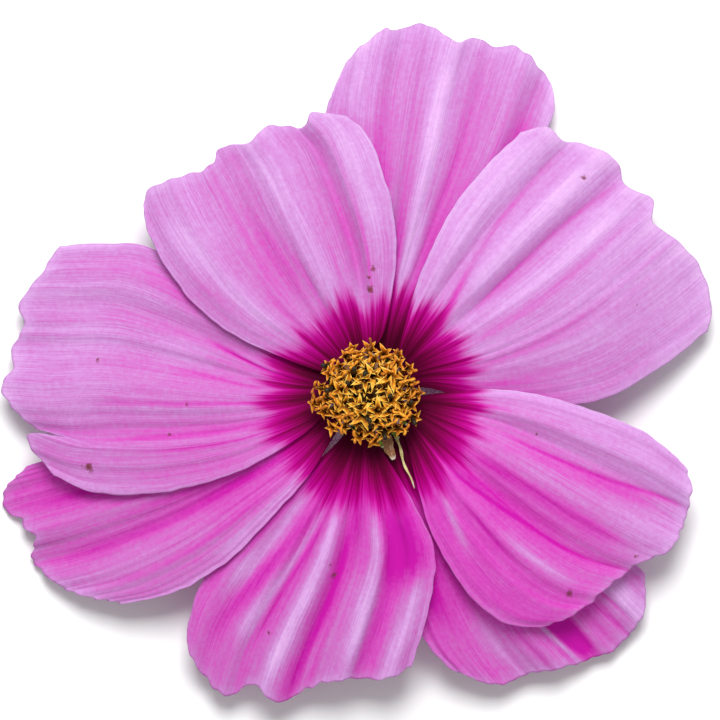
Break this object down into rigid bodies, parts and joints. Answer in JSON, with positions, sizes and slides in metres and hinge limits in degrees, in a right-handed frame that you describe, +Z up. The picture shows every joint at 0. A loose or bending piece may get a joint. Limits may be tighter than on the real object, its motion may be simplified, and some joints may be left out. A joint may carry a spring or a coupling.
{
  "type": "cosmos flower head",
  "caption": "Open cosmos flower head with broad overlapping lavender-pink petals, a dark crimson base zone and a yellow disc of tube florets, lying face up.",
  "frame": {"origin": "centre of the head's bounding box, on the surface that the petal tips and the cut stalk rest on", "axes": "+Z up out of the flower's face, the head's shortest extent; +Y towards the top petal, +X towards the right petals"},
  "size_m": [0.0788, 0.0754, 0.0153],
  "materials": {
    "petal": "satin",
    "green_stalk": "satin",
    "inner_bract": "satin",
    "outer_bract": "matte",
    "disc_floret": "matte",
    "young_floret": "matte",
    "palea": "matte"
  },
  "bodies": {
    "root": {"receptacle_and_stalk": "green_stalk", "petal_upper_right": "petal", "petal_top": "petal", "petal_upper_left": "petal", "petal_left": "petal", "petal_lower_left": "petal", "petal_bottom": "petal", "petal_lower_right": "petal", "petal_right": "petal", "inner_bract_1": "inner_bract", "inner_bract_2": "inner_bract", "inner_bract_3": "inner_bract", "inner_bract_4": "inner_bract", "inner_bract_5": "inner_bract", "inner_bract_6": "inner_bract", "inner_bract_7": "inner_bract", "inner_bract_8": "inner_bract", "outer_bract_1": "outer_bract", "outer_bract_2": "outer_bract", "outer_bract_3": "outer_bract", "outer_bract_4": "outer_bract", "outer_bract_5": "outer_bract", "outer_bract_6": "outer_bract", "outer_bract_7": "outer_bract", "outer_bract_8": "outer_bract", "disc_floret_01": "disc_floret", "disc_floret_02": "disc_floret", "disc_floret_03": "disc_floret", "disc_floret_04": "disc_floret", "disc_floret_05": "disc_floret", "disc_floret_06": "disc_floret", "disc_floret_07": "disc_floret", "disc_floret_08": "disc_floret", "disc_floret_09": "disc_floret", "disc_floret_10": "disc_floret", "disc_floret_11": "disc_floret", "disc_floret_12": "disc_floret", "disc_floret_13": "disc_floret", "disc_floret_14": "disc_floret", "disc_floret_15": "disc_floret", "disc_floret_16": "disc_floret", "disc_floret_17": "disc_floret", "disc_floret_18": "disc_floret", "disc_floret_19": "disc_floret", "disc_floret_20": "disc_floret", "disc_floret_21": "disc_floret", "disc_floret_22": "disc_floret", "disc_floret_23": "disc_floret", "disc_floret_24": "disc_floret", "disc_floret_25": "disc_floret", "disc_floret_26": "disc_floret", "disc_floret_27": "disc_floret", "disc_floret_28": "disc_floret", "disc_floret_29": "disc_floret", "disc_floret_30": "disc_floret", "disc_floret_31": "disc_floret", "disc_floret_32": "disc_floret", "disc_floret_33": "disc_floret", "young_floret_cluster": "young_floret", "withered_palea": "palea"}
  },
  "joints": []
}
